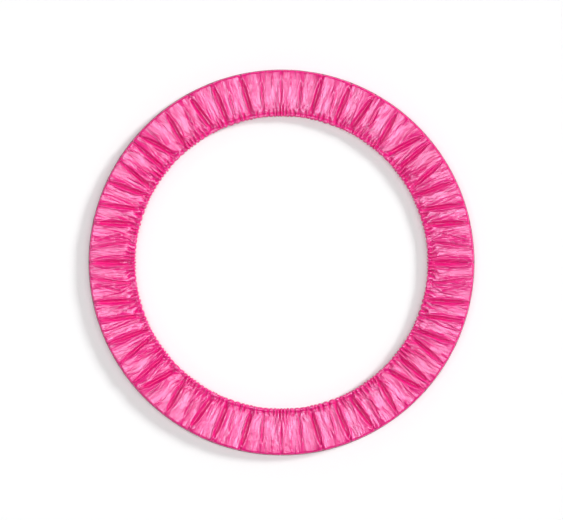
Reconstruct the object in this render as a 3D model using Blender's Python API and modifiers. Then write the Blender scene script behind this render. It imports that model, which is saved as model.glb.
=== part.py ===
"""A rhythmic gymnastics hoop inside its gathered fabric cover, lying flat.

The hoop is a plastic tube bent to a ring, its two ends pushed onto a plug and riveted.
The cover is two rings of cloth, front and back, each sewn from an upper and a lower half.
They meet at a seam round the rim. Each inner edge is a hem with an elastic inside it, and
the hoop goes in and out through the slit between the two hems.

The frame: the hoop's axis is +Z, the cover rests on z = 0, +Y points to 12 o'clock and
the cross seams that join the halves are at 3 and 9 o'clock, on the X axis. Metres.
"""

import math

import bmesh
import bpy
from mathutils import Matrix, Vector

# Driving dimensions of the hoop
HOOP_INNER_DIAMETER = 0.850
TUBE_RADIUS = 0.009
TUBE_WALL = 0.0022
SPLICE_GAP = 0.0005
PLUG_CLEARANCE = 0.0003
RIVET_FROM_JOINT = 0.024
RIVET_RADIUS = 0.0016
RIVET_HEAD_RADIUS = 0.0026
RIVET_HEAD_LIFT = 0.0001
RIVET_HEAD_HEIGHT = 0.0005
HOLE_CLEARANCE = 0.0003

# Driving dimensions of the cover. Its cloth is drawn as a solid of this thickness.
CLOTH = 0.001
PLAY_ROUND_TUBE = 0.001
COVER_INNER_RADIUS = 0.339
TOP_FLAT = 0.006
HEM_WIDTH = 0.011
HEM_BEND_RADIUS = 0.00135
HEM_PARTING = 0.0004
RIM_THREAD_RADIUS = 0.0005
SEAM_THREAD_RADIUS = 0.0004
ELASTIC_WIDTH = 0.007
ELASTIC_THICKNESS = 0.0011
GAP = 0.0003

# Facets
STEPS_ROUND = 72
TUBE_SIDES = 12
PLUG_STEPS = 2
RIM_ARC_STEPS = 5
BEND_STEPS = 3
MERGE = 0.00001

# Worked out from the above
TUBE_CENTRE = HOOP_INNER_DIAMETER / 2 + TUBE_RADIUS
BORE_FLATS = (TUBE_RADIUS - TUBE_WALL) * math.cos(math.pi / TUBE_SIDES)
CLOTH_ROUND_TUBE = TUBE_RADIUS + PLAY_ROUND_TUBE + CLOTH / 2
MID_Z = CLOTH_ROUND_TUBE + CLOTH / 2
RIM_RADIUS = TUBE_CENTRE + CLOTH_ROUND_TUBE
LEAF_HEIGHT = HEM_PARTING + CLOTH / 2
HEM_HEIGHT = LEAF_HEIGHT + 2 * HEM_BEND_RADIUS
BEND_CENTRE = COVER_INNER_RADIUS + CLOTH / 2 + HEM_BEND_RADIUS
CROSS_SEAM_ANGLE = (SEAM_THREAD_RADIUS + GAP) / COVER_INNER_RADIUS
JOINT_ANGLE = -math.pi / 2

PARTS = "rhythmic_hoop_in_cover"
CUTTERS = "cutters"


def clear_scene():
    """Starts from an empty scene, whatever the file held."""
    for obj in list(bpy.data.objects):
        bpy.data.objects.remove(obj)


def collection(name):
    """The collection of that name, made on first use."""
    found = bpy.data.collections.get(name)
    if found is None:
        found = bpy.data.collections.new(name)
        bpy.context.scene.collection.children.link(found)
    return found


def material(name, colour, roughness, metallic=0.0):
    """A Principled material with one colour, roughness and metallic value."""
    made = bpy.data.materials.new(name)
    made.use_nodes = True
    shader = made.node_tree.nodes["Principled BSDF"]
    shader.inputs["Base Color"].default_value = (*colour, 1.0)
    shader.inputs["Roughness"].default_value = roughness
    shader.inputs["Metallic"].default_value = metallic
    return made


def add_object(name, data, finish, where=PARTS):
    """An object for this mesh or curve, in its collection and with its material."""
    obj = bpy.data.objects.new(name, data)
    collection(where).objects.link(obj)
    data.materials.append(finish)
    return obj


def outline_mesh(name, points, closed):
    """A mesh of edges alone, through (radius, height) points at +X."""
    mesh = bpy.data.meshes.new(name)
    corners = [(radius, 0.0, height) for radius, height in points]
    edges = [(i, i + 1) for i in range(len(points) - 1)]
    if closed:
        edges.append((len(points) - 1, 0))
    mesh.from_pydata(corners, edges, [])
    return mesh


def revolve(obj, sweep, steps):
    """Turns the object's outline about its own Z."""
    screw = obj.modifiers.new("Turn", "SCREW")
    screw.axis = "Z"
    screw.angle = sweep
    screw.steps = steps
    screw.render_steps = steps
    screw.use_merge_vertices = True
    screw.merge_threshold = MERGE
    screw.use_normal_calculate = True
    return screw


def thicken(obj, thickness, offset):
    """Gives a turned sheet its wall."""
    solidify = obj.modifiers.new("Wall", "SOLIDIFY")
    solidify.thickness = thickness
    solidify.offset = offset
    solidify.use_even_offset = True
    solidify.use_rim = True
    return solidify


def round_arc(centre, radius, start, end, steps):
    """(radius, height) points along an arc of an outline."""
    points = []
    for step in range(steps + 1):
        angle = start + (end - start) * step / steps
        points.append((centre[0] + radius * math.cos(angle), centre[1] + radius * math.sin(angle)))
    return points


def rim_edge_angle():
    """Where the cloth starts beside the rim thread, as an angle round the tube's centre."""
    return math.asin((RIM_THREAD_RADIUS + GAP) / CLOTH_ROUND_TUBE) + CLOTH / 2 / CLOTH_ROUND_TUBE / 4


def panel_outline():
    """The middle of the cloth of one side, from the rim over the tube to the folded hem."""
    over_tube = round_arc((TUBE_CENTRE, 0), CLOTH_ROUND_TUBE, rim_edge_angle(), math.pi / 2, RIM_ARC_STEPS)
    top_flat_end = (TUBE_CENTRE - TOP_FLAT, CLOTH_ROUND_TUBE)
    hem_top = (BEND_CENTRE + HEM_WIDTH, HEM_HEIGHT)
    bend = round_arc(
        (BEND_CENTRE, LEAF_HEIGHT + HEM_BEND_RADIUS), HEM_BEND_RADIUS, math.pi / 2, 3 * math.pi / 2, BEND_STEPS
    )
    leaf_end = (BEND_CENTRE + HEM_WIDTH - 2 * CLOTH, LEAF_HEIGHT)
    return [*over_tube, top_flat_end, hem_top, *bend, leaf_end]


def mirrored(points, side):
    """The outline on the front (side 1) or the back (side -1), about the middle plane."""
    return [(radius, side * height) for radius, height in points]


def cover_panel(name, side, half, finish):
    """Half a ring of cloth: side 1 is the front, half 0 the upper and 1 the lower one."""
    obj = add_object(name, outline_mesh(name, mirrored(panel_outline(), side), False), finish)
    sweep = math.pi - 2 * CROSS_SEAM_ANGLE
    revolve(obj, sweep, STEPS_ROUND // 2)
    thicken(obj, CLOTH, 0.0)
    obj.location.z = MID_Z
    obj.rotation_euler.z = half * math.pi + CROSS_SEAM_ANGLE
    return obj


def elastic(name, side, finish):
    """The flat elastic loop that runs inside one hem."""
    middle = LEAF_HEIGHT + HEM_BEND_RADIUS
    inner = BEND_CENTRE
    outline = [(inner + ELASTIC_WIDTH, side * middle), (inner, side * middle)]
    obj = add_object(name, outline_mesh(name, outline, False), finish)
    revolve(obj, 2 * math.pi, STEPS_ROUND)
    thicken(obj, ELASTIC_THICKNESS, 0.0)
    obj.location.z = MID_Z
    return obj


def thread_curve(name, points, radius, cyclic, finish):
    """A sewing thread along these points, drawn as one thin cord."""
    curve = bpy.data.curves.new(name, "CURVE")
    curve.dimensions = "3D"
    curve.bevel_depth = radius
    curve.bevel_resolution = 0
    curve.use_fill_caps = True
    spline = curve.splines.new("POLY")
    spline.points.add(len(points) - 1)
    for point, place in zip(spline.points, points):
        point.co = (*place, 1.0)
    spline.use_cyclic_u = cyclic
    return add_object(name, curve, finish)


def ring_thread(name, ring_radius, height, thread_radius, finish):
    """A line of stitching that runs all the way round."""
    points = []
    for step in range(STEPS_ROUND):
        angle = 2 * math.pi * step / STEPS_ROUND
        points.append((ring_radius * math.cos(angle), ring_radius * math.sin(angle), height))
    obj = thread_curve(name, points, thread_radius, True, finish)
    obj.location.z = MID_Z
    return obj


def hem_thread(name, side, finish):
    """The stitching that holds one hem down, lying on the cloth."""
    height = HEM_HEIGHT + CLOTH / 2 + GAP + SEAM_THREAD_RADIUS
    return ring_thread(name, BEND_CENTRE + HEM_WIDTH - 2 * CLOTH, side * height, SEAM_THREAD_RADIUS, finish)


def cross_seam_thread(name, side, end, finish):
    """The stitching of a cross seam: end 1 is at 3 o'clock and end -1 at 9 o'clock."""
    on_cloth = panel_outline()[1 : RIM_ARC_STEPS + 3]
    points = [(end * radius, 0.0, side * height) for radius, height in on_cloth]
    obj = thread_curve(name, points, SEAM_THREAD_RADIUS, False, finish)
    obj.location.z = MID_Z
    return obj


def circle_outline(radius, sides):
    """A closed circle round the tube's centre line, running down its outer side."""
    return [
        (
            TUBE_CENTRE + radius * math.sin(2 * math.pi * side / sides),
            radius * math.cos(2 * math.pi * side / sides),
        )
        for side in range(sides)
    ]


def mesh_from_curve(obj):
    """The same shape as a closed mesh, so that it can be cut."""
    bpy.context.view_layer.update()
    graph = bpy.context.evaluated_depsgraph_get()
    mesh = bpy.data.meshes.new_from_object(obj.evaluated_get(graph))
    shape = bmesh.new()
    shape.from_mesh(mesh)
    bmesh.ops.remove_doubles(shape, verts=shape.verts, dist=MERGE)
    bmesh.ops.recalc_face_normals(shape, faces=shape.faces)
    shape.to_mesh(mesh)
    shape.free()
    name = obj.name
    place = obj.matrix_world.copy()
    home = obj.users_collection[0]
    bpy.data.objects.remove(obj)
    made = bpy.data.objects.new(name, mesh)
    home.objects.link(made)
    made.matrix_world = place
    return made


def splice_plug(finish):
    """The solid plug inside both ends of the tube, bent to the hoop's own curve."""
    step_angle = 2 * math.pi / STEPS_ROUND
    curve = bpy.data.curves.new("splice_plug", "CURVE")
    curve.dimensions = "3D"
    curve.bevel_depth = BORE_FLATS - PLUG_CLEARANCE
    curve.bevel_resolution = 2
    curve.use_fill_caps = True
    spline = curve.splines.new("POLY")
    spline.points.add(PLUG_STEPS)
    for index, point in enumerate(spline.points):
        angle = JOINT_ANGLE + step_angle * (index - PLUG_STEPS / 2)
        point.co = (TUBE_CENTRE * math.cos(angle), TUBE_CENTRE * math.sin(angle), 0.0, 1.0)
    obj = add_object("splice_plug", curve, finish)
    obj.location.z = MID_Z
    return mesh_from_curve(obj)


def hoop_tube(finish):
    """The hoop itself: a hollow tube bent round until its ends nearly touch."""
    obj = add_object("hoop_tube", outline_mesh("hoop_tube", circle_outline(TUBE_RADIUS, TUBE_SIDES), True), finish)
    opening = SPLICE_GAP / TUBE_CENTRE
    revolve(obj, 2 * math.pi - opening, STEPS_ROUND)
    thicken(obj, TUBE_WALL, -1.0)
    obj.location.z = MID_Z
    obj.rotation_euler.z = JOINT_ANGLE + opening / 2
    return obj


def rivet_place(side):
    """Where a rivet's axis crosses the tube's centre line, on one side of the joint."""
    angle = JOINT_ANGLE + side * RIVET_FROM_JOINT / TUBE_CENTRE
    return Vector((TUBE_CENTRE * math.cos(angle), TUBE_CENTRE * math.sin(angle), MID_Z))


def splice_rivet(name, side, finish):
    """A rivet through tube and plug, with a low domed head on either face of the hoop."""
    under_head = TUBE_RADIUS + RIVET_HEAD_LIFT
    top = under_head + RIVET_HEAD_HEIGHT
    shoulder = under_head + RIVET_HEAD_HEIGHT / 2
    upper = [
        (0.0, top),
        (RIVET_HEAD_RADIUS * 0.6, top - RIVET_HEAD_HEIGHT * 0.15),
        (RIVET_HEAD_RADIUS, shoulder),
        (RIVET_HEAD_RADIUS, under_head),
        (RIVET_RADIUS, under_head),
    ]
    lower = [(radius, -height) for radius, height in reversed(upper)]
    obj = add_object(name, outline_mesh(name, upper + lower, False), finish)
    revolve(obj, 2 * math.pi, 16)
    obj.location = rivet_place(side)
    return obj


def rivet_cutter(side):
    """The hole for a rivet, a little wider than it and longer than the tube is deep."""
    mesh = bpy.data.meshes.new("rivet_hole")
    shape = bmesh.new()
    radius = RIVET_RADIUS + HOLE_CLEARANCE
    bmesh.ops.create_cone(
        shape, cap_ends=True, segments=16, radius1=radius, radius2=radius, depth=4 * TUBE_RADIUS
    )
    shape.to_mesh(mesh)
    shape.free()
    obj = bpy.data.objects.new("rivet_hole", mesh)
    collection(CUTTERS).objects.link(obj)
    obj.matrix_world = Matrix.Translation(rivet_place(side))
    obj.hide_render = True
    obj.display_type = "WIRE"
    return obj


def cut(obj, cutter):
    """Takes the cutter's shape out of the object."""
    hole = obj.modifiers.new("Hole", "BOOLEAN")
    hole.operation = "DIFFERENCE"
    hole.object = cutter


def smooth_round_faces(obj):
    """Round faces shade smooth, and real edges stay sharp."""
    if obj.type == "MESH" and obj.data.polygons:
        obj.data.shade_smooth()
        obj.data.set_sharp_from_angle(angle=math.radians(40))


def make_hoop():
    """The hoop and everything that turns with it."""
    white = material("hoop_plastic", (0.86, 0.86, 0.84), 0.28)
    grey = material("plug_plastic", (0.35, 0.35, 0.36), 0.5)
    steel = material("rivet_metal", (0.62, 0.62, 0.64), 0.3, 1.0)
    tube = hoop_tube(white)
    plug = splice_plug(grey)
    for name, side in (("splice_rivet_left", -1), ("splice_rivet_right", 1)):
        splice_rivet(name, side, steel)
        hole = rivet_cutter(side)
        cut(tube, hole)
        cut(plug, hole)
    smooth_round_faces(plug)


def make_cover():
    """The cloth, the elastics inside its hems and the threads that hold it together."""
    pink = material("cover_fabric", (0.86, 0.07, 0.33), 0.45)
    band = material("elastic_band", (0.88, 0.86, 0.85), 0.8)
    thread = material("sewing_thread", (0.80, 0.05, 0.28), 0.6)
    for face, side in (("front", 1), ("back", -1)):
        for half, place in enumerate(("upper", "lower")):
            cover_panel(f"{face}_panel_{place}", side, half, pink)
        elastic(f"{face}_elastic", side, band)
        hem_thread(f"{face}_hem_thread", side, thread)
        for place, end in (("right", 1), ("left", -1)):
            cross_seam_thread(f"{face}_seam_thread_{place}", side, end, thread)
    ring_thread("rim_seam_thread", RIM_RADIUS, 0.0, RIM_THREAD_RADIUS, thread)


def main():
    clear_scene()
    make_hoop()
    make_cover()


main()
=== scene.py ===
# %% [markdown]
# # A rhythmic gymnastics hoop in its gathered satin cover
#
# The cover is a flat ring of cloth pulled over a plastic hoop. A front and a back ring
# are sewn together round the rim, where the hoop keeps them taut, and each inner edge is
# a hem with an elastic in it, which draws the cloth up into gathers. The solids of the
# hoop, the elastics and the seams come ready made in a shared frame. This lesson makes
# what a plain solid can't show: cloth that is longer than the ring it lies on, and that
# therefore has to fold.

import math

import bpy
import numpy as np
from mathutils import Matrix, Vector


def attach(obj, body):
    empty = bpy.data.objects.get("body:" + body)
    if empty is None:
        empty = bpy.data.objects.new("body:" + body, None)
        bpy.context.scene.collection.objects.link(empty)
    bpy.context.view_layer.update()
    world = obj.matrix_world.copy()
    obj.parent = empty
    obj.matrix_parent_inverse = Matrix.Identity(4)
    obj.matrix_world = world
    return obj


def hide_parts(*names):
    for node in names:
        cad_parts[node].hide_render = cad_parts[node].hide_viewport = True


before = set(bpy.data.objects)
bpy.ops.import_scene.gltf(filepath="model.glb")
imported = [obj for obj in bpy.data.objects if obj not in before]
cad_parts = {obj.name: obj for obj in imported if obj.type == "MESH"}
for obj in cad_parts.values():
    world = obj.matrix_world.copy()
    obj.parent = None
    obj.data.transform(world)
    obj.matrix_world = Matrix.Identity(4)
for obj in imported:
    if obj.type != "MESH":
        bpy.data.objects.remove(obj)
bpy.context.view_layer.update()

# %% [markdown]
# ## Sizes read from the frame
#
# Nothing here is typed in twice. The rim, the tube and the hem are measured on the
# solids, so that the cloth lands where the seams and the hoop already are. Lengths are in
# metres, with z upwards and the ring's axis at the origin.


# %% Measure the solids
def ring_of(node):
    """(inner radius, outer radius, lowest z, highest z) of a solid that goes round the origin."""
    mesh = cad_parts[node].data
    points = np.empty(len(mesh.vertices) * 3)
    mesh.vertices.foreach_get("co", points)
    points = points.reshape(-1, 3)
    radius = np.hypot(points[:, 0], points[:, 1])
    return radius.min(), radius.max(), points[:, 2].min(), points[:, 2].max()


_, TUBE_OUT, TUBE_LOW, TUBE_HIGH = ring_of("hoop_tube")
INNER_EDGE, _, _, _ = ring_of("front_panel_upper")
_, _, BAND_LOW, BAND_HIGH = ring_of("front_elastic")
HEM_THREAD_IN, HEM_THREAD_OUT, _, _ = ring_of("front_hem_thread")
RIM_IN, RIM_OUT, _, _ = ring_of("rim_seam_thread")

MID_Z = (TUBE_LOW + TUBE_HIGH) / 2
TUBE_RADIUS = (TUBE_HIGH - TUBE_LOW) / 2
TUBE_CENTRE = TUBE_OUT - TUBE_RADIUS
RIM_RADIUS = (RIM_IN + RIM_OUT) / 2
STITCH_RADIUS = (HEM_THREAD_IN + HEM_THREAD_OUT) / 2
BAND_HEIGHT = (BAND_LOW + BAND_HIGH) / 2 - MID_Z
print(f"tube centre line {TUBE_CENTRE:.4f} m, tube {2 * TUBE_RADIUS:.4f} m, middle plane z {MID_Z:.4f}")
print(f"rim {RIM_RADIUS:.4f} m, hem stitching {STITCH_RADIUS:.4f} m, inner edge {INNER_EDGE:.4f} m")

# %% [markdown]
# ## Camera, floor and light
#
# The ring is seen square on, so the camera looks straight down through a long lens onto a
# plain white floor. Satin is mostly its highlights, so each light has one job. A far soft
# light from the right throws the shadow, and a very wide one fills it; neither leaves a
# highlight. The highlight comes from one long softbox overhead. It is long from left to
# right and narrow the other way, so folds at the top and bottom of the ring stay bright
# as they tilt, and folds at the sides turn dark sooner. Four low strips are only seen in
# the cloth when the ring is looked at from the side.

# %% Camera
VIEW_WIDTH = 1.303
CAMERA_DISTANCE = 3.4
VIEW_OFFSET_Y = 0.0058


def make_camera():
    """A long lens straight above the ring, framed to the view's width on the floor."""
    data = bpy.data.cameras.new("camera")
    data.lens = data.sensor_width * CAMERA_DISTANCE / VIEW_WIDTH
    camera = bpy.data.objects.new("camera", data)
    camera.location = (0.0, VIEW_OFFSET_Y, MID_Z + CAMERA_DISTANCE)
    bpy.context.scene.collection.objects.link(camera)
    bpy.context.scene.camera = camera
    return camera


camera = make_camera()
print(f"lens {camera.data.lens:.0f} mm")


# %% Helpers for meshes
def mesh_object(name, points, faces, material=None):
    """A finished piece: its place is in its mesh, and its object stays at the origin."""
    mesh = bpy.data.meshes.new(name)
    mesh.from_pydata([tuple(map(float, p)) for p in points], [], [tuple(map(int, f)) for f in faces])
    mesh.update()
    mesh.shade_smooth()
    if material is not None:
        mesh.materials.append(material)
    piece = bpy.data.objects.new(name, mesh)
    bpy.context.scene.collection.objects.link(piece)
    return piece


def grid_faces(rows, columns, flip):
    """Faces between the rows of a grid of points."""
    faces = []
    for row in range(rows - 1):
        for column in range(columns - 1):
            corner = row * columns + column
            face = (corner, corner + 1, corner + columns + 1, corner + columns)
            faces.append(face[::-1] if flip else face)
    return faces


# %% Floor and lights
FLOOR_HALF = 30.0
STRIP_AWAY = 5.0
STRIP_UP = 1.3


def aim(lamp, place, target=(0.0, 0.0, 0.0)):
    """Stands a lamp at a place and turns it to shine at a point."""
    lamp.location = place
    lamp.rotation_euler = (Vector(target) - Vector(place)).to_track_quat("-Z", "Y").to_euler()
    bpy.context.scene.collection.objects.link(lamp)


def make_far_light(name, place, strength, spread):
    """Soft light from far off, the same all over the floor, that leaves no highlight."""
    data = bpy.data.lights.new(name, "SUN")
    data.energy = strength
    data.angle = math.radians(spread)
    lamp = bpy.data.objects.new(name, data)
    lamp.visible_glossy = False
    aim(lamp, place)


def make_softbox(name, place, size, power):
    """A rectangular softbox, which the satin mirrors; the camera doesn't see it."""
    data = bpy.data.lights.new(name, "AREA")
    data.shape = "RECTANGLE"
    data.size, data.size_y = size
    data.energy = power
    lamp = bpy.data.objects.new(name, data)
    lamp.visible_camera = False
    aim(lamp, place)


def make_world():
    """A plain white backdrop that adds no light of its own."""
    world = bpy.data.worlds.new("studio")
    world.use_nodes = True
    background = world.node_tree.nodes["Background"]
    background.inputs["Color"].default_value = (1.0, 1.0, 1.0, 1.0)
    background.inputs["Strength"].default_value = 1.0
    world.cycles_visibility.diffuse = False
    world.cycles_visibility.glossy = False
    bpy.context.scene.world = world


def make_floor():
    """One large white sheet of paper."""
    paper = bpy.data.materials.new("white_paper")
    paper.use_nodes = True
    shader = paper.node_tree.nodes["Principled BSDF"]
    shader.inputs["Base Color"].default_value = (0.96, 0.96, 0.96, 1.0)
    shader.inputs["Roughness"].default_value = 0.9
    corners = [(x * FLOOR_HALF, y * FLOOR_HALF, 0) for x, y in ((-1, -1), (1, -1), (1, 1), (-1, 1))]
    floor = mesh_object("floor", corners, [(0, 1, 2, 3)], paper)


make_floor()
make_world()
make_far_light("main_light", (5.2, 2.6, 2.8), 2.3, 13)
make_far_light("fill_light", (0.0, 0.0, 5.0), 0.5, 150)
make_softbox("overhead", (0.0, 0.0, 3.7), (5.6, 0.8), 89)
for where, x, y in (("right", 1, 0), ("left", -1, 0), ("far", 0, 1), ("near", 0, -1)):
    make_softbox(f"low_strip_{where}", (x * STRIP_AWAY, y * STRIP_AWAY, STRIP_UP), (7.0, 1.3), 40)
bpy.context.scene.view_settings.view_transform = "Standard"


# %% [markdown]
# ## Materials written as sums
#
# A shader tree is a drawing of a formula. One small class lets the formula be written as
# Python instead, so that 1 - mask or twist * 0.7 + nap * 0.5 adds the Math nodes by itself.
# Anything else, such as a noise or a colour ramp, comes from one method that first sets
# the node up and then links it.

# %% Shader sums as Python
class Value:
    """A socket that can be added, multiplied and so on; each sum adds its Math node."""

    def __init__(self, tree, socket):
        self.tree = tree
        self.socket = socket

    def _math(self, operation, *others, swapped=False):
        node = self.tree.nodes.new("ShaderNodeMath")
        node.operation = operation
        terms = [self, *others]
        if swapped:
            terms.reverse()
        for socket, term in zip(node.inputs, terms):
            if isinstance(term, Value):
                self.tree.links.new(term.socket, socket)
            else:
                socket.default_value = term
        return Value(self.tree, node.outputs[0])

    def __add__(self, other):
        return self._math("ADD", other)

    def __radd__(self, other):
        return self._math("ADD", other, swapped=True)

    def __sub__(self, other):
        return self._math("SUBTRACT", other)

    def __rsub__(self, other):
        return self._math("SUBTRACT", other, swapped=True)

    def __mul__(self, other):
        return self._math("MULTIPLY", other)

    def __rmul__(self, other):
        return self._math("MULTIPLY", other, swapped=True)

    def size(self):
        """The value without its sign."""
        return self._math("ABSOLUTE")

    def limit(self):
        """The same value, kept between 0 and 1."""
        low = self._math("MAXIMUM", 0.0)
        return low._math("MINIMUM", 1.0)


class Finish:
    """One material and its node tree."""

    def __init__(self, name):
        self.material = bpy.data.materials.new(name)
        self.material.use_nodes = True
        self.tree = self.material.node_tree
        self.shader = self.tree.nodes["Principled BSDF"]

    def node(self, kind, settings=None, inputs=None, output=0):
        """Any node: its settings first, then the values or links of its sockets."""
        node = self.tree.nodes.new(kind)
        for key, value in (settings or {}).items():
            if key == "stops":
                self._set_stops(node, value)
            else:
                setattr(node, key, value)
        for key, value in (inputs or {}).items():
            if isinstance(value, Value):
                self.tree.links.new(value.socket, node.inputs[key])
            else:
                node.inputs[key].default_value = value
        return Value(self.tree, node.outputs[output])

    def _set_stops(self, node, stops):
        elements = node.color_ramp.elements
        while len(elements) < len(stops):
            elements.new(0.5)
        for element, (place, colour) in zip(elements, stops):
            element.position = place
            element.color = (*colour, 1.0)

    def ramp(self, low, dark, high, light, along):
        """A colour that goes from dark to light as a value goes from low to high."""
        stops = [(low, dark), (high, light)]
        return self.node("ShaderNodeValToRGB", {"stops": stops}, {"Fac": along})

    def bump(self, height, strength, distance):
        """Raises the surface by a height, in the shading only."""
        sockets = {"Height": height, "Strength": strength, "Distance": distance}
        self.feed("Normal", self.node("ShaderNodeBump", None, sockets))

    def constant(self, **sockets):
        """Numbers that are the same all over go straight on the shader."""
        for name, value in sockets.items():
            self.shader.inputs[name.replace("_", " ")].default_value = value

    def feed(self, name, value):
        """Links a value that changes over the surface to the shader."""
        self.tree.links.new(value.socket, self.shader.inputs[name])


# %% [markdown]
# ## Satin
#
# Polyester satin is a saturated colour under a strong, cool, fairly smooth reflection. Where
# the cloth faces the softbox it goes pale pink, and where a fold turns away only the deep
# dye is left. A high index of refraction with a slightly violet tint gives that, and the
# noises, drawn out along the folds, give the soft waves, the uneven dye and the thin
# pressed creases. The creases are also painted darker in the colour, which is painted shade.
# They read a map of the flat cut cloth in metres, so they stay with the cloth when it folds.

# %% Satin
WEAVE_SCALE = 2500.0
CREASE_THINNESS = 26
# How far the creases (painted shade) and the weave's checker pattern pull the colour towards dark pink.
CREASE_PAINTED_SHADE, WEAVE_DYE = 0.4, 0.05
CREASE_RELIEF, WEAVE_RELIEF = 0.2, 0.01


def streaks(finish, uv, drawn_out, scale, detail):
    """Noise drawn out across the strip, along the folds."""
    place = finish.node("ShaderNodeVectorMath", {"operation": "MULTIPLY"}, {0: uv, 1: (1.0, drawn_out, 1.0)})
    sockets = {"Vector": place, "Scale": scale, "Detail": detail, "Roughness": 0.6}
    return finish.node("ShaderNodeTexNoise", {"noise_dimensions": "2D"}, sockets)


def make_satin():
    """Pink polyester satin: a smooth gloss, a fine weave, soft waves and thin pressed creases with painted
    shade in them.
    """
    finish = Finish("cover_satin")
    uv = finish.node("ShaderNodeUVMap", {"uv_map": "cut"})
    waves = streaks(finish, uv, drawn_out=0.16, scale=160.0, detail=3.0)
    tone = streaks(finish, uv, drawn_out=0.16, scale=45.0, detail=2.0)
    lines = streaks(finish, uv, drawn_out=0.10, scale=70.0, detail=1.0)
    creases = (1 - (lines - 0.5).size() * CREASE_THINNESS).limit()
    weave = finish.node("ShaderNodeTexChecker", None, {"Vector": uv, "Scale": WEAVE_SCALE}, output="Fac")
    cloth = finish.ramp(0.30, (0.84, 0.001, 0.19), 0.72, (0.93, 0.004, 0.24), tone)
    # The mix darkens the colour in the creases, which is painted shade, and a little on the weave's checker,
    # which is its pattern.
    colour = finish.node(
        "ShaderNodeMix",
        {"data_type": "RGBA"},
        {0: creases * CREASE_PAINTED_SHADE + weave * WEAVE_DYE, 6: cloth, 7: (0.40, 0.002, 0.10, 1.0)},
        output=2,
    )
    finish.feed("Base Color", colour)
    finish.bump(waves - creases * CREASE_RELIEF + weave * WEAVE_RELIEF, strength=0.6, distance=0.0016)
    finish.constant(Roughness=0.23, IOR=2.3, Specular_Tint=(0.86, 0.72, 1.0, 1.0))
    return finish.material


satin = make_satin()
print("nodes in the satin:", len(satin.node_tree.nodes))

# %% [markdown]
# ## The cloth
#
# Each half of the front and of the back is one straight strip of cloth. Its outer edge is
# sewn round the rim, and its inner edge is drawn up to a much smaller ring. At any radius
# the cloth is longer than the circle that it lies on, and the difference has to fold.
#
# It could be displaced with noise, but then it would stretch. Here the folds keep the
# cloth's length instead: each row across the strip gets its folds' shape, and their height
# is then solved so that the row is as long as the cut strip. Deep folds run from the rim to
# the hem with nearly flat plates between them, and at the hem the stitching gathers the
# cloth finely. The rows start on the taut line: round the tube, then straight to the hem.

# %% Side profile of the front cloth
CLOTH_ROUND_TUBE = RIM_RADIUS - TUBE_CENTRE
STITCH_HEIGHT = 0.0036


def profile_facts():
    """Where the cloth leaves the tube, as an angle, and how far it then runs to the stitching."""
    across = STITCH_RADIUS - TUBE_CENTRE
    reach = math.hypot(across, STITCH_HEIGHT)
    leave = math.atan2(STITCH_HEIGHT, across) - math.acos(CLOTH_ROUND_TUBE / reach)
    return leave, math.sqrt(reach**2 - CLOTH_ROUND_TUBE**2)


LEAVE_ANGLE, SPAN = profile_facts()
OVER_TUBE = CLOTH_ROUND_TUBE * LEAVE_ANGLE
STRIP_FREE = OVER_TUBE + SPAN
print(f"cloth over the tube {OVER_TUBE * 1000:.1f} mm, from the tube to the hem {SPAN * 1000:.1f} mm")


def taut_profile(run):
    """(radius, height, normal's radius part, normal's height part) at a run from the rim."""
    angle = np.minimum(run, OVER_TUBE) / CLOTH_ROUND_TUBE
    beyond = np.maximum(run - OVER_TUBE, 0.0)
    normal_r, normal_z = np.cos(angle), np.sin(angle)
    radius = TUBE_CENTRE + CLOTH_ROUND_TUBE * normal_r - beyond * normal_z
    height = CLOTH_ROUND_TUBE * normal_z + beyond * normal_r
    return radius, height, normal_r, normal_z


# %% The folds of one quarter
QUARTER = math.pi / 2
FULLNESS = 1.08
QUARTER_CUT = FULLNESS * RIM_RADIUS * QUARTER
COLUMNS = 480
FREE_ROWS = 50

# Each fold: its angle at the rim and at the hem in degrees from 12 o'clock, the slope of
# its sides, its half width in mm, and where along the strip it begins and ends (0 rim, 1 hem).
FOLDS = (
    (0.0, 0.0, 1.0, 4.0, 0.0, 1.0),
    (2.8, 2.9, 0.8, 2.6, 0.0, 0.6),
    (6.0, 6.6, 0.9, 4.4, 0.3, 1.0),
    (12.6, 11.4, 1.3, 7.0, 0.0, 1.0),
    (16.9, 17.6, 0.9, 4.0, 0.4, 1.0),
    (21.3, 21.0, 1.3, 7.0, 0.0, 1.0),
    (29.3, 27.4, 1.3, 7.6, 0.0, 1.0),
    (32.2, 33.0, 0.6, 4.4, 0.2, 0.9),
    (37.3, 39.5, 1.25, 6.6, 0.1, 1.0),
    (41.3, 41.0, 1.0, 3.2, 0.0, 0.5),
    (48.7, 44.6, 1.3, 7.2, 0.0, 1.0),
    (50.9, 51.3, 1.3, 6.4, 0.0, 1.0),
    (56.8, 56.2, 0.9, 3.6, 0.45, 1.0),
    (57.6, 60.0, 1.25, 6.4, 0.05, 1.0),
    (65.0, 63.6, 1.25, 6.4, 0.0, 1.0),
    (68.7, 70.8, 0.9, 3.2, 0.0, 0.55),
    (72.6, 69.5, 1.25, 6.0, 0.0, 1.0),
    (78.2, 75.5, 1.3, 7.4, 0.0, 1.0),
    (84.2, 78.6, 1.0, 3.4, 0.1, 0.9),
    (85.8, 82.2, 1.1, 4.6, 0.0, 1.0),
    (90.0, 90.0, 1.1, 9.0, 0.0, 1.0),
)

# The plates between the folds stand off the taut line: by how much, and over which shares
# of the way they rise. No fold reaches below the deepest height over the middle plane.
PLATE_LIFT_RIM = 0.0026
PLATE_LIFT_HEM = 0.0048
PLATES_RISE = (0.1, 0.8)
RIM_EASE = 0.065
DEEPEST = 0.0006

# A fold is a V in section, with sides that are nearly straight. It is narrower near the rim,
# and eases in or out where it begins or ends on the way.
FOLD_NARROW = 0.28
FOLD_WIDE_AT = 0.42
FOLD_TIP = 0.4
FOLD_EASE_IN = 0.12
FOLD_EASE_OUT = 0.25
FOLD_SHOULDER = 1.06
FOLD_CURVE = 1.08


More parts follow.
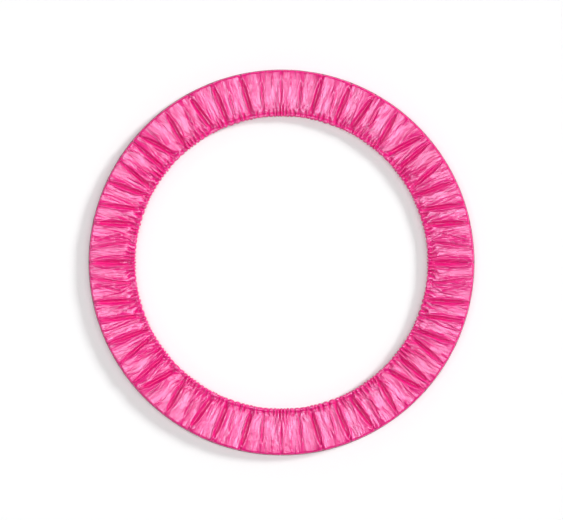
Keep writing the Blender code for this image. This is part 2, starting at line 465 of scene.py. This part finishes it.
def smooth_step(low, high, value):
    """0 below low, 1 above high, and an easy curve between."""
    t = np.clip((value - low) / (high - low), 0.0, 1.0)
    return t * t * (3 - 2 * t)


def folds_at(angle, share, radius):
    """Depth of the folds, as heights below zero, on a row that is a share of the way to the hem."""
    height = np.zeros_like(angle)
    widen = FOLD_NARROW + (1 - FOLD_NARROW) * smooth_step(0.0, FOLD_WIDE_AT, share)
    for at_rim, at_hem, slope, half_mm, begins, ends in FOLDS:
        middle = at_rim + (at_hem - at_rim) * share
        there = smooth_step(begins - FOLD_EASE_IN, begins + FOLD_EASE_IN, share) if begins > 0 else 1.0
        there = there * (1 - smooth_step(ends - FOLD_EASE_OUT, ends, share) if ends < 1 else 1.0)
        half = widen * (FOLD_TIP + (1 - FOLD_TIP) * there) * half_mm / 1000
        for centre in {middle, -middle, 180 - middle}:
            off = np.abs(np.radians(angle - centre)) * radius / half
            height -= there * slope * half * np.clip(FOLD_SHOULDER - off, 0.0, None) ** FOLD_CURVE
    return height


whole_folds = [fold for fold in FOLDS if fold[-2:] == (0.0, 1.0)]
print(f"{len(FOLDS)} folds in a quarter, {len(whole_folds)} of them from the rim to the hem")

# %% Small creases
CREASE_COUNT = 320
CREASE_RANGES = (
    (-4.0, 94.0),  # degrees from 12 o'clock
    (0.0, 1.1),  # share of the way to the hem
    (0.2, 0.6),  # half width in degrees
    (0.15, 0.5),  # half length as a share of the way
    (-5.5, 5.5),  # slant in degrees over the whole way
    (-0.0008, 0.0008),  # height
)
CREASE_FADED = 0.02


def crease_list(count, seed):
    """Small creases scattered over a quarter, each drawn from the ranges."""
    draw = np.random.RandomState(seed)
    return np.stack([draw.uniform(low, high, count) for low, high in CREASE_RANGES], axis=1)


CREASES = crease_list(CREASE_COUNT, seed=5)
print(f"{len(CREASES)} small creases, at most {1000 * np.abs(CREASES[:, 5]).max():.1f} mm high or deep")


def creases_at(angle, share):
    """Height of the small creases on one row."""
    height = np.zeros_like(angle)
    for centre, along, width, length, slant, size in CREASES:
        strength = math.exp(-(((share - along) / length) ** 2))
        if strength < CREASE_FADED:
            continue
        middle = centre + slant * (share - along)
        height += size * strength * np.exp(-(((angle - middle) / width) ** 2))
    return height


# %% Gathers at the hem
GATHERS = 52
GATHER_HEIGHT = 0.0030
GATHER_REACH = 0.010
GATHER_LEAN_RUN = 0.01
GATHER_ROUND = 0.55
GATHER_SWING = 1.8
GATHER_FADE = 1.5

# What makes the gathers uneven: a few slow waves, each its size and its count in a full turn.
LEAN_WAVES = ((0.8, 10), (0.35, 22))
PLACE_WAVES = ((0.5, 12), (0.35, 28))
HEIGHT_WAVES = ((0.3, 20), (0.25, 46), (0.2, 74))
REACH_WAVES = ((0.35, 14), (0.3, 34))
HEIGHT_MIDDLE = 0.75


def uneven(value, waves, wave, turned):
    """A value with slow waves round the ring added to it."""
    return sum((size * wave(count * turned) for size, count in waves), value)


def gather_wave(angle, away):
    """The fine gathers' wave, at a distance from the stitching: uneven, leaning, sharp below."""
    turned = np.radians(angle)
    lean = uneven(0.0, LEAN_WAVES, np.sin, turned)
    count = GATHERS * (angle + lean * away / GATHER_LEAN_RUN) / 90
    count = uneven(count, PLACE_WAVES, np.sin, turned)
    height = uneven(HEIGHT_MIDDLE, HEIGHT_WAVES, np.cos, turned)
    return height * (GATHER_SWING * np.abs(np.cos(np.pi * count)) ** GATHER_ROUND - 1)


def gather_reach(angle):
    """How far from the stitching a gather runs up the cloth."""
    return GATHER_REACH * uneven(1.0, REACH_WAVES, np.cos, np.radians(angle))


one_quarter = np.linspace(0.0, 90.0, 721)
print(f"{4 * GATHERS} gathers round each hem, {1000 * gather_reach(one_quarter).min():.0f} to "
      f"{1000 * gather_reach(one_quarter).max():.0f} mm long")

# %% Rows as long as the cut cloth
# From the hem zone on, the folds and plates flatten by a share and the gathers take over.
HEM_ZONE = 0.84
HEM_FLATTENS = 0.75

# Between these two runs a row goes from taut at the rim to the whole length of the cut cloth.
TAUT_TO_FULL = (-0.002, 0.012)

# The fold scale is found by halving, on a row of fine steps, and never passes the most scale.
FINE_STEPS = 2880
MOST_SCALE = 1.25
HALVINGS = 20
LEAST_UPRIGHT = 0.3


def row_height(angle, run, radius):
    """How far the folded cloth stands off its taut place along one row."""
    share = run / STRIP_FREE
    away = STRIP_FREE - run
    near_hem = smooth_step(HEM_ZONE, 1.0, share)
    lift = PLATE_LIFT_RIM + (PLATE_LIFT_HEM - PLATE_LIFT_RIM) * smooth_step(*PLATES_RISE, share)
    lift = lift * smooth_step(0.0, RIM_EASE, share)
    fold = folds_at(angle, share, radius)
    fade = np.exp(-((away / gather_reach(angle)) ** GATHER_FADE))
    gathers = GATHER_HEIGHT * fade * gather_wave(angle, away)
    return (lift + fold + creases_at(angle, share)) * (1 - HEM_FLATTENS * near_hem) + gathers


def place_row(radius, height, normal_r, normal_z, angle, fold):
    """Points of a row from its taut place, its angles and its folds' heights."""
    turned = np.radians(angle)
    out = np.minimum(radius + normal_r * fold, RIM_RADIUS)
    return np.stack([out * np.sin(turned), out * np.cos(turned), height + normal_z * fold], axis=1)


def row_shape(run):
    """One row of the cloth with its folds: points at even steps of cloth length."""
    radius, height, normal_r, normal_z = taut_profile(run)
    angle = np.linspace(0.0, 90.0, FINE_STEPS + 1)
    fold = row_height(angle, run, radius)
    arc = radius * QUARTER
    wanted = arc + (QUARTER_CUT - arc) * smooth_step(*TAUT_TO_FULL, run)
    low, high = 0.0, MOST_SCALE
    for _ in range(HALVINGS):
        scale = (low + high) / 2
        folded = np.maximum(fold * scale, (DEEPEST - height) / max(normal_z, LEAST_UPRIGHT))
        points = place_row(radius, height, normal_r, normal_z, angle, folded)
        length = np.linalg.norm(np.diff(points, axis=0), axis=1).sum()
        low, high = (scale, high) if length < wanted else (low, scale)
    steps = np.linalg.norm(np.diff(points, axis=0), axis=1)
    along = np.concatenate([[0.0], np.cumsum(steps)])
    even = np.linspace(0.0, along[-1], COLUMNS + 1)
    return np.stack([np.interp(even, along, points[:, axis]) for axis in range(3)], axis=1), scale


free_runs = np.linspace(0.0, STRIP_FREE, FREE_ROWS + 1)
rows = []
for run in free_runs:
    row, scale = row_shape(run)
    rows.append(row)
    if len(rows) % 8 == 1:
        print(f"run {run * 1000:5.1f} mm: fold scale {scale:.2f}")


# %% [markdown]
# ## Let the cloth settle
#
# Solved rows are too orderly. A short cloth simulation loosens them: the cloth grows by a few
# percent, more than the ring has room for, so the plates buckle into small folds of their
# own. The rim, the hem and the bottoms of the deep folds are held. So that the growth only
# works along the strip, the rows start closer together and are drawn back to their places
# in the first frames. Only one quarter is run; its ends lie in the planes where it meets
# its mirror image. With highlights this sharp, even half a millimetre of buckling shows.

# %% What is held and what grows
# Rows within the held run of the rim are pinned, and beyond it the growth sets in gradually.
SETTLE_FRAMES = 14
SETTLE_GROWTH = 0.04
HELD_RUN = 0.011
GROWS_WITHIN = 0.012
DRAWN_BY = 5
FOLD_HELD_BELOW = 0.0015


def growth_weights():
    """How much each row of the free cloth grows: none on the held rim, all of it beyond the tube."""
    return smooth_step(HELD_RUN, HELD_RUN + GROWS_WITHIN, free_runs)


def before_drawing(seed):
    """The seed with its rows closer together, by as much as the growth will part them again."""
    steps = np.diff(seed, axis=0)
    weight = growth_weights()
    middle = (weight[1:] + weight[:-1]) / 2
    steps = steps / (1 + SETTLE_GROWTH * middle)[:, None, None]
    return np.concatenate([seed[:1], seed[:1] + np.cumsum(steps, axis=0)])


def deep_places(seed):
    """Numbers of the points at the bottoms of the folds, where front and back cloth touch."""
    angle = np.degrees(np.arctan2(seed[..., 0], seed[..., 1]))
    radius = np.hypot(seed[..., 0], seed[..., 1])
    depth = [-folds_at(angle[row], run / STRIP_FREE, radius[row]) for row, run in enumerate(free_runs)]
    return [int(place) for place in np.flatnonzero(np.array(depth).ravel() > FOLD_HELD_BELOW)]


def loose_quarter(seed):
    """The quarter with its rows close together, and a key that draws them to their places."""
    start = before_drawing(seed)
    piece = mesh_object("settling", start.reshape(-1, 3), grid_faces(*seed.shape[:2], flip=False))
    piece.shape_key_add(name="loose")
    drawn = piece.shape_key_add(name="drawn")
    drawn.data.foreach_set("co", seed.ravel())
    for amount, frame_number in ((0.0, 1), (1.0, DRAWN_BY)):
        drawn.value = amount
        drawn.keyframe_insert("value", frame=frame_number)
    return piece


def hold_and_grow(piece, seed):
    """Two vertex groups: what is pinned, and how much each row grows."""
    pins = piece.vertex_groups.new(name="pins")
    grow = piece.vertex_groups.new(name="grow")
    weight = growth_weights()
    rows_count, columns = seed.shape[:2]
    for row in range(rows_count):
        first = row * columns
        last = first + columns - 1
        whole = list(range(first, last + 1))
        grow.add(whole, float(weight[row]), "REPLACE")
        held = free_runs[row] < HELD_RUN or row == rows_count - 1
        pins.add(whole if held else [first, last], 1.0, "REPLACE")
    pins.add(deep_places(seed), 1.0, "REPLACE")


# %% Run the cloth
def give_cloth(piece):
    """Light, limp cloth that grows by its group and isn't pulled down."""
    cloth = piece.modifiers.new("cloth", "CLOTH")
    rules = cloth.settings
    rules.quality = 5
    rules.mass = 0.001
    rules.tension_stiffness = rules.compression_stiffness = 80
    rules.shear_stiffness = 5
    rules.bending_stiffness = 0.5
    rules.air_damping = 0.5
    rules.vertex_group_mass = "pins"
    rules.vertex_group_shrink = "grow"
    rules.shrink_min = 0.0
    rules.shrink_max = -SETTLE_GROWTH
    rules.effector_weights.gravity = 0.0
    cloth.collision_settings.use_collision = False
    cloth.point_cache.frame_start = 1
    cloth.point_cache.frame_end = SETTLE_FRAMES


def settle(seed):
    """Cloth simulation of one quarter: the cloth grows a little along the strip and finds its folds."""
    piece = loose_quarter(seed)
    hold_and_grow(piece, seed)
    give_cloth(piece)
    for frame_number in range(1, SETTLE_FRAMES + 1):
        bpy.context.scene.frame_set(frame_number)
    result = piece.evaluated_get(bpy.context.evaluated_depsgraph_get()).to_mesh()
    points = np.empty(len(result.vertices) * 3)
    result.vertices.foreach_get("co", points)
    bpy.data.objects.remove(piece)
    bpy.context.scene.frame_set(1)
    return points.reshape(seed.shape)


seed = np.array(rows)
settled = settle(seed)
moved = np.linalg.norm(settled - seed, axis=-1) * 1000
rows = list(settled)
print(f"settled: moved {moved.mean():.1f} mm on average, {moved.max():.1f} mm at most")


# %% [markdown]
# ## The hem
#
# Beyond the stitching the cloth goes on over the elastic, round it and back underneath. The
# gathers held by the stitches run on over it, rounded above and pinched between.

# %% The hem round the elastic
# The casing is rounder above than below, and stops a little short of the stitching underneath.
CASING_HALF_HEIGHT = 0.0019
CASING_CROWN = 0.0030
CASING_RIPPLE = 0.0026
CASING_STEPS = 13
CASING_OPEN = 0.002
RIPPLE_SIDEWAYS = 0.8
RIPPLE_BELOW = 0.25
TOPSIDE, UNDERSIDE = 0.5, -0.3
CLOTH_GAP = 0.0003


def casing_path():
    """(radius, height, outward radius part, outward height part, run) round the elastic."""
    bend = INNER_EDGE + CASING_HALF_HEIGHT
    flat = STITCH_RADIUS - bend
    half_turn = math.pi * CASING_HALF_HEIGHT
    total = 2 * flat + half_turn - CASING_OPEN
    path = []
    for step in range(1, CASING_STEPS + 1):
        run = total * step / CASING_STEPS
        if run < flat:
            drop = (STITCH_HEIGHT - BAND_HEIGHT - CASING_CROWN) * (1 - run / flat) ** 3
            path.append((STITCH_RADIUS - run, BAND_HEIGHT + CASING_CROWN + drop, 0.0, 1.0, run))
        elif run < flat + half_turn:
            turn = math.pi / 2 + (run - flat) / CASING_HALF_HEIGHT
            out_r, out_z = math.cos(turn), math.sin(turn)
            tall = CASING_CROWN if out_z > 0 else CASING_HALF_HEIGHT
            place = (bend + CASING_HALF_HEIGHT * out_r, BAND_HEIGHT + tall * out_z)
            path.append((*place, out_r, out_z, run))
        else:
            back = run - flat - half_turn
            path.append((bend + back, BAND_HEIGHT - CASING_HALF_HEIGHT, 0.0, -1.0, run))
    return path


def casing_row(radius, height, out_r, out_z):
    """One row of the hem: the gathers of the stitching carried round the elastic."""
    stitched = rows[FREE_ROWS]
    angle = np.degrees(np.arctan2(stitched[:, 0], stitched[:, 1]))
    ripple = CASING_RIPPLE * gather_wave(angle, 0.0) * (1.0 if out_z > UNDERSIDE else RIPPLE_BELOW)
    out = radius + out_r * RIPPLE_SIDEWAYS * ripple
    high = height + out_z * ripple
    if out_z > TOPSIDE:
        high = np.maximum(high, BAND_HIGH - MID_Z + CLOTH_GAP)
    turned = np.radians(angle)
    return np.stack([out * np.sin(turned), out * np.cos(turned), high], axis=1)


casing = casing_path()
rows += [casing_row(*place[:4]) for place in casing]
runs = np.concatenate([free_runs, [STRIP_FREE + place[4] for place in casing]])
quarter = np.array(rows)
STRIP_WIDTH = runs[-1]
print(f"strip {STRIP_WIDTH * 1000:.0f} mm wide and {2 * QUARTER_CUT * 1000:.0f} mm long")


# %% [markdown]
# ## Four strips
#
# A quarter and its mirror image make a half ring, and four of those are the cover: front
# and back, upper and lower. The back takes the quarter the other way round and is pressed
# flat where it lies on the floor. Front and back never cross: the cloth is kept off the
# tube and off the middle plane.

# %% A half ring from a quarter
# The least distances from the tube, from the middle plane and from the floor.
TUBE_GAP = 0.0011
HALF_GAP = 0.0003
FLOOR_GAP = 0.0006
MIRROR_LEFT = np.array([-1.0, 1.0, 1.0])


def clear_of_hoop(points):
    """Pushes cloth off the tube, and keeps front and back cloth apart."""
    radius = np.hypot(points[..., 0], points[..., 1])
    across = radius - TUBE_CENTRE
    reach = np.hypot(across, points[..., 2])
    least = TUBE_RADIUS + TUBE_GAP
    push = np.where(reach < least, least / np.maximum(reach, 1e-9), 1.0)
    factor = (TUBE_CENTRE + across * push) / radius
    z = np.maximum(points[..., 2] * push, HALF_GAP)
    return np.stack([points[..., 0] * factor, points[..., 1] * factor, z], axis=-1)


def strip_from(quarter, side, half):
    """A half ring on the front (side 1) or back (-1), upper (half 1) or lower (-1).

    The back takes the quarter the other way round, so that it isn't a copy of the front.
    """
    if side == -1:
        quarter = quarter[:, ::-1][..., [1, 0, 2]]
    other = quarter[:, ::-1] * MIRROR_LEFT
    strip = np.concatenate([other[:, :-1], quarter], axis=1)
    strip = strip * np.array([1.0, half, side]) + np.array([0.0, 0.0, MID_Z])
    strip[..., 2] = np.maximum(strip[..., 2], FLOOR_GAP)
    return strip


def add_cut_map(piece, columns, rows_run):
    """A UV map in metres of flat cloth: along the strip and across it."""
    layer = piece.data.uv_layers.new(name="cut")
    loops = np.empty(len(piece.data.loops), dtype=np.int32)
    piece.data.loops.foreach_get("vertex_index", loops)
    along = (loops % columns) * (2 * QUARTER_CUT / (columns - 1))
    across = rows_run[loops // columns]
    layer.data.foreach_set("uv", np.stack([along, across], axis=1).ravel())


# %% Cut and lay the four strips
SIDES = (("front", 1), ("back", -1))
HALVES = (("upper", 1), ("lower", -1))
quarter = clear_of_hoop(quarter)
strips = {(face, place): strip_from(quarter, side, half) for face, side in SIDES for place, half in HALVES}

for face, side in SIDES:
    for place, half in HALVES:
        strip = strips[face, place]
        rows_count, columns = strip.shape[:2]
        faces = grid_faces(rows_count, columns, flip=side == half)
        piece = mesh_object(f"{face}_cloth_{place}", strip.reshape(-1, 3), faces, satin)
        add_cut_map(piece, columns, runs)
        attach(piece, "cover")
        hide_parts(f"{face}_panel_{place}")
        2 * QUARTER_CUT
        print(f"{piece.name}: {len(piece.data.polygons)} faces")

# %% [markdown]
# ## Thread
#
# Spun polyester thread is matt with a slight nap, and its twist shows as fine slanting
# lines. A wave texture in the thread's own place gives the twist. The hems are sewn in a
# thread that matches the cloth, and the rim is closed in a much darker one. Its dark colour
# is painted shade that draws the thin shaded line round the ring.


# %% Thread
TWIST_SCALE = 900.0
NAP_SCALE = 700.0


def make_thread(name, dark, light):
    """Twisted sewing thread between two tones."""
    finish = Finish(name)
    place = finish.node("ShaderNodeTexCoord", output="Object")
    twist = finish.node(
        "ShaderNodeTexWave",
        {"wave_type": "BANDS", "bands_direction": "DIAGONAL"},
        {"Vector": place, "Scale": TWIST_SCALE, "Distortion": 1.5},
        output="Fac",
    )
    nap = finish.node("ShaderNodeTexNoise", None, {"Vector": place, "Scale": NAP_SCALE, "Detail": 2.0})
    mix = (twist * 0.7 + nap * 0.5).limit()
    finish.feed("Base Color", finish.ramp(0.2, dark, 0.8, light, mix))
    finish.bump(mix, strength=0.6, distance=0.0001)
    finish.constant(Roughness=0.7, Sheen_Weight=0.3, Sheen_Roughness=0.5)
    return finish.material


pink_thread = make_thread("pink_thread", (0.50, 0.006, 0.13), (0.80, 0.05, 0.28))
# The rim thread's dark colour is painted shade: it stands for the shade along the rim seam.
painted_shade_rim_thread = make_thread("rim_thread_painted_shade", (0.10, 0.008, 0.045), (0.24, 0.05, 0.12))
print("threads:", pink_thread.name, painted_shade_rim_thread.name)

# %% [markdown]
# ## Stitches with Geometry Nodes
#
# Every row of stitches is the same rule: walk along a line in even steps and lay a short,
# round-ended piece of thread at each step, turned along the line. One node tree does it for
# the hems and the cross seams, with the stitch's length, thickness and step as inputs. Its
# line is taken from the cloth itself, so that each stitch lies in its gather. A second
# tree closes the rim: a bound edge, and stitches laid over it from front to back.


# %% Geometry Nodes helpers
class NodeRecipe:
    """A Geometry Nodes tree with named inputs."""

    def __init__(self, name, numbers):
        self.tree = bpy.data.node_groups.new(name, "GeometryNodeTree")
        sockets = self.tree.interface
        sockets.new_socket("Line", in_out="INPUT", socket_type="NodeSocketGeometry")
        for label, value in numbers.items():
            socket = sockets.new_socket(label, in_out="INPUT", socket_type="NodeSocketFloat")
            socket.default_value = value
        sockets.new_socket("Material", in_out="INPUT", socket_type="NodeSocketMaterial")
        sockets.new_socket("Geometry", in_out="OUTPUT", socket_type="NodeSocketGeometry")
        self.given = self.tree.nodes.new("NodeGroupInput").outputs
        self.result = self.tree.nodes.new("NodeGroupOutput").inputs

    def node(self, kind, settings=None, inputs=None):
        """One node: its settings first, then the values or links of its sockets."""
        node = self.tree.nodes.new(kind)
        for key, value in (settings or {}).items():
            setattr(node, key, value)
        for key, value in (inputs or {}).items():
            if isinstance(value, bpy.types.NodeSocket):
                self.tree.links.new(value, node.inputs[key])
            else:
                node.inputs[key].default_value = value
        return node.outputs

    def close(self, geometry):
        """Ends the tree: instances made real, and the material set."""
        real = self.node("GeometryNodeRealizeInstances", None, {"Geometry": geometry})["Geometry"]
        sockets = {"Geometry": real, "Material": self.given["Material"]}
        painted = self.node("GeometryNodeSetMaterial", None, sockets)
        self.tree.links.new(painted["Geometry"], self.result["Geometry"])
        return self.tree


def line_object(name, points, closed):
    """A line of edges through points, for a tree to walk along."""
    count = len(points)
    edges = [(i, i + 1) for i in range(count - 1)]
    if closed:
        edges.append((count - 1, 0))
    mesh = bpy.data.meshes.new(name)
    mesh.from_pydata([tuple(map(float, p)) for p in points], edges, [])
    line = bpy.data.objects.new(name, mesh)
    bpy.context.scene.collection.objects.link(line)
    return line


def bake(line, recipe, material, **numbers):
    """Runs a tree on a line and keeps the result as a plain mesh in the line's place."""
    modifier = line.modifiers.new("recipe", "NODES")
    modifier.node_group = recipe
    wanted = {name.replace("_", " "): value for name, value in numbers.items()}
    wanted["Material"] = material
    for item in recipe.interface.items_tree:
        if item.in_out == "INPUT" and item.name in wanted:
            modifier[item.identifier] = wanted[item.name]
    shapes = bpy.context.evaluated_depsgraph_get()
    mesh = bpy.data.meshes.new_from_object(line.evaluated_get(shapes), depsgraph=shapes)
    mesh.name = line.name
    mesh.shade_smooth()
    line.modifiers.remove(modifier)
    old = line.data
    line.data = mesh
    bpy.data.meshes.remove(old)


# %% The two stitching recipes
STITCH_SMALLEST, STITCH_LARGEST = 0.88, 1.06
STITCH_LEAN = 0.35


def stitch_shape(recipe):
    """One stitch of unit size: a round-ended thread of two dozen faces."""
    sockets = {"Segments": 6, "Rings": 4, "Radius": 0.5}
    return recipe.node("GeometryNodeMeshUVSphere", None, sockets)["Mesh"]


def stitch_size(recipe):
    """Thickness twice and length once, each stitch a little different."""
    between = {2: STITCH_SMALLEST, 3: STITCH_LARGEST, "Seed": 3}
    share = recipe.node("FunctionNodeRandomValue", {"data_type": "FLOAT"}, between)[1]
    thickness, length = recipe.given["Thickness"], recipe.given["Length"]
    size = recipe.node("ShaderNodeCombineXYZ", None, {"X": thickness, "Y": thickness, "Z": length})["Vector"]
    return recipe.node("ShaderNodeVectorMath", {"operation": "SCALE"}, {0: size, "Scale": share})["Vector"]


def walk(recipe):
    """The line as a curve, and points at even steps along it."""
    curve = recipe.node("GeometryNodeMeshToCurve", None, {"Mesh": recipe.given["Line"]})["Curve"]
    sockets = {"Curve": curve, "Length": recipe.given["Step"]}
    return curve, recipe.node("GeometryNodeCurveToPoints", {"mode": "LENGTH"}, sockets)


def lay_stitches(recipe, points, direction):
    """A stitch at each point, turned along a direction."""
    turn = recipe.node("FunctionNodeAlignRotationToVector", {"axis": "Z"}, {"Vector": direction})["Rotation"]
    sockets = {
        "Points": points,
        "Instance": stitch_shape(recipe),
        "Rotation": turn,
        "Scale": stitch_size(recipe),
    }
    return recipe.node("GeometryNodeInstanceOnPoints", None, sockets)["Instances"]


def row_recipe():
    """Stitches end to end along a line."""
    recipe = NodeRecipe("stitch_row", {"Step": 0.003, "Length": 0.0025, "Thickness": 0.0005})
    _, steps = walk(recipe)
    return recipe.close(lay_stitches(recipe, steps["Points"], steps["Tangent"]))


def rim_recipe():
    """A bound edge along a line, with stitches over it from front to back."""
    sizes = {"Step": 0.0028, "Length": 0.0024, "Thickness": 0.0006, "Edge": 0.0011}
    recipe = NodeRecipe("rim_binding", sizes)
    curve, steps = walk(recipe)
    around = {"Resolution": 8, "Radius": recipe.given["Edge"]}
    section = recipe.node("GeometryNodeCurvePrimitiveCircle", None, around)["Curve"]
    edge = recipe.node("GeometryNodeCurveToMesh", None, {"Curve": curve, "Profile Curve": section})["Mesh"]
    upright = {0: steps["Tangent"], 1: (STITCH_LEAN,) * 3, 2: (0.0, 0.0, 1.0)}
    lean = recipe.node("ShaderNodeVectorMath", {"operation": "MULTIPLY_ADD"}, upright)["Vector"]
    place = recipe.node("GeometryNodeInputPosition")["Position"]
    outward = recipe.node("ShaderNodeVectorMath", {"operation": "NORMALIZE"}, {0: place})["Vector"]
    sockets = {0: outward, "Scale": recipe.given["Edge"]}
    shift = recipe.node("ShaderNodeVectorMath", {"operation": "SCALE"}, sockets)["Vector"]
    moved = recipe.node("GeometryNodeSetPosition", None, {"Geometry": steps["Points"], "Offset": shift})
    laid = lay_stitches(recipe, moved["Geometry"], lean)
    both = recipe.node("GeometryNodeJoinGeometry")["Geometry"]
    for shape in (edge, laid):
        recipe.tree.links.new(shape, both.node.inputs["Geometry"])
    return recipe.close(both)


stitch_row = row_recipe()
rim_binding = rim_recipe()
print("recipes:", stitch_row.name, rim_binding.name)

# %% [markdown]
# ## Hem stitching, cross seams and rim
#
# The hem stitching runs round the whole ring at the row where the cloth was held, a fraction
# of a millimetre above it. The cross seams follow the last column of points, where the upper
# and the lower strip meet. The rim's line is a plain circle on the middle plane.

# %% Sew the hems, the cross seams and the rim
THREAD = 0.0005
THREAD_LIFT = 0.0002
SEAM_FIRST_ROW = 2
RIM_OUTSIDE = 0.0008
RIM_STEPS = 720


def sewn(piece, node):
    """Puts a baked row of thread in the place of its seam."""
    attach(piece, "cover")
    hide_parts(node)
    print(f"{piece.name}: {len(piece.data.polygons)} faces")


for face, side in SIDES:
    lift = np.array([0.0, 0.0, side * THREAD_LIFT])
    top = strips[face, "upper"][FREE_ROWS]
    bottom = strips[face, "lower"][FREE_ROWS]
    hem_line = np.concatenate([top[:-1], bottom[::-1][:-1]]) + lift
    hem = line_object(f"{face}_hem_stitches", hem_line, closed=True)
    bake(hem, stitch_row, pink_thread, Step=0.0032, Length=0.0027, Thickness=THREAD)
    sewn(hem, f"{face}_hem_thread")
    for hand, column in (("left", 0), ("right", -1)):
        seam_line = strips[face, "upper"][SEAM_FIRST_ROW : FREE_ROWS + 1, column] + lift
        seam = line_object(f"{face}_seam_stitches_{hand}", seam_line, closed=False)
        bake(seam, stitch_row, pink_thread, Step=0.0030, Length=0.0026, Thickness=THREAD)
        sewn(seam, f"{face}_seam_thread_{hand}")

turned = np.linspace(0.0, 2 * np.pi, RIM_STEPS, endpoint=False)
rim_across = (RIM_RADIUS + RIM_OUTSIDE) * np.stack([np.cos(turned), np.sin(turned)], axis=1)
rim_line = np.column_stack([rim_across, np.full(RIM_STEPS, MID_Z)])
rim = line_object("rim_stitches", rim_line, closed=True)
bake(rim, rim_binding, painted_shade_rim_thread)
sewn(rim, "rim_seam_thread")

# %% [markdown]
# ## The elastics
#
# Inside each hem runs a flat woven elastic. Lengthwise rubber cords under the weave give it
# ribs along its length. It is hidden in use, and shows only where the hem is opened.


# %% Ribbed elastic
def make_elastic():
    """White woven elastic: a fine cross weave over the ribs."""
    finish = Finish("elastic_weave")
    uv = finish.node("ShaderNodeUVMap", {"uv_map": "band"})
    weave = finish.node("ShaderNodeTexChecker", None, {"Vector": uv, "Scale": 2200.0}, output="Fac")
    sockets = {"Vector": uv, "Scale": 60.0, "Detail": 3.0}
    wear = finish.node("ShaderNodeTexNoise", {"noise_dimensions": "2D"}, sockets)
    tone = (weave * 0.25 + wear * 0.75).limit()
    finish.feed("Base Color", finish.ramp(0.3, (0.74, 0.71, 0.69), 0.8, (0.90, 0.88, 0.86), tone))
    finish.bump(weave, strength=0.5, distance=0.0001)
    finish.constant(Roughness=0.8)
    return finish.material


ELASTIC_STEPS = 360
ELASTIC_RIBS = 7
RIB_HEIGHT = 0.00018


def elastic_section(low_r, high_r, low_z, high_z):
    """The outline of the band, round with ribs above and below, in order round it."""
    across = np.linspace(0.0, 1.0, 4 * ELASTIC_RIBS + 1)
    rib = RIB_HEIGHT * (1 - np.abs(np.cos(np.pi * ELASTIC_RIBS * across)))
    radius = low_r + (high_r - low_r) * across
    above = np.stack([radius, high_z - rib], axis=1)
    below = np.stack([radius, low_z + rib], axis=1)[::-1]
    return np.concatenate([above, below])


def ring_from(name, section, steps, material):
    """A closed ring: a section swept round the middle, with a UV map in metres."""
    count = len(section)
    around = np.linspace(0.0, 2 * np.pi, steps, endpoint=False)
    points = [(r * np.cos(t), r * np.sin(t), z) for t in around for r, z in section]
    faces = []
    for here in range(steps):
        there = (here + 1) % steps
        for corner in range(count):
            after = (corner + 1) % count
            faces.append(
                (here * count + corner, there * count + corner, there * count + after, here * count + after)
            )
    piece = mesh_object(name, points, faces, material)
    layer = piece.data.uv_layers.new(name="band")
    loops = np.empty(len(piece.data.loops), dtype=np.int32)
    piece.data.loops.foreach_get("vertex_index", loops)
    edge = np.linalg.norm(np.diff(section, axis=0, prepend=section[:1]), axis=1).cumsum()
    along = (loops // count) * (2 * np.pi * section[:, 0].mean() / steps)
    layer.data.foreach_set("uv", np.stack([along, edge[loops % count]], axis=1).ravel())
    return piece


elastic_weave = make_elastic()
for face, side in SIDES:
    low_r, high_r, low_z, high_z = ring_of(f"{face}_elastic")
    section = elastic_section(low_r, high_r, low_z, high_z)
    band = ring_from(f"{face}_elastic_band", section, ELASTIC_STEPS, elastic_weave)
    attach(band, "cover")
    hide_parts(f"{face}_elastic")
    print(f"{band.name}: {1000 * (high_r - low_r):.1f} x {1000 * (high_z - low_z):.1f} mm")

# %% [markdown]
# ## The hoop
#
# The hoop's own solids are right as they are: a bent plastic tube, a plug in its two ends,
# and two rivets. They only get their finishes. The tube is a pale, smooth plastic with the
# faint cloudiness of an extruded tube, the plug is matt, and the rivets are aluminium with
# a fine, uneven shine.


# %% Plastics and metal
GRAIN_FINER = 30
UNEVEN_GLOSS = 0.12


def make_plastic(name, dark, light, scale, roughness, bump):
    """Plastic with a soft cloudiness, a fine grain and uneven gloss."""
    finish = Finish(name)
    place = finish.node("ShaderNodeTexCoord", output="Object")
    cloud = finish.node("ShaderNodeTexNoise", None, {"Vector": place, "Scale": scale, "Detail": 4.0})
    finer = {"Vector": place, "Scale": GRAIN_FINER * scale, "Detail": 2.0}
    grain = finish.node("ShaderNodeTexNoise", None, finer)
    finish.feed("Base Color", finish.ramp(0.3, dark, 0.7, light, cloud))
    finish.feed("Roughness", roughness + UNEVEN_GLOSS * (grain - 0.5))
    finish.bump(grain, strength=bump, distance=0.0002)
    return finish.material


def make_aluminium():
    """Aluminium with a fine, uneven shine."""
    finish = Finish("rivet_aluminium")
    place = finish.node("ShaderNodeTexCoord", output="Object")
    grain = finish.node("ShaderNodeTexNoise", None, {"Vector": place, "Scale": 900.0, "Detail": 3.0})
    finish.feed("Base Color", finish.ramp(0.3, (0.52, 0.52, 0.54), 0.7, (0.66, 0.66, 0.68), grain))
    finish.feed("Roughness", 0.26 + 0.2 * grain)
    finish.constant(Metallic=1.0)
    return finish.material


def give_finish(node, material):
    """A CAD solid keeps its shape and gets a better finish."""
    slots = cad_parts[node].data.materials
    slots.clear()
    slots.append(material)
    print(f"{node}: {material.name}")


tube_plastic = make_plastic("hoop_tube_plastic", (0.80, 0.80, 0.78), (0.88, 0.88, 0.86), 14.0, 0.32, 0.15)
plug_plastic = make_plastic("plug_moulding", (0.10, 0.10, 0.105), (0.14, 0.14, 0.145), 60.0, 0.6, 0.4)
rivet_metal = make_aluminium()
give_finish("hoop_tube", tube_plastic)
give_finish("splice_plug", plug_plastic)
for hand in ("left", "right"):
    give_finish(f"splice_rivet_{hand}", rivet_metal)
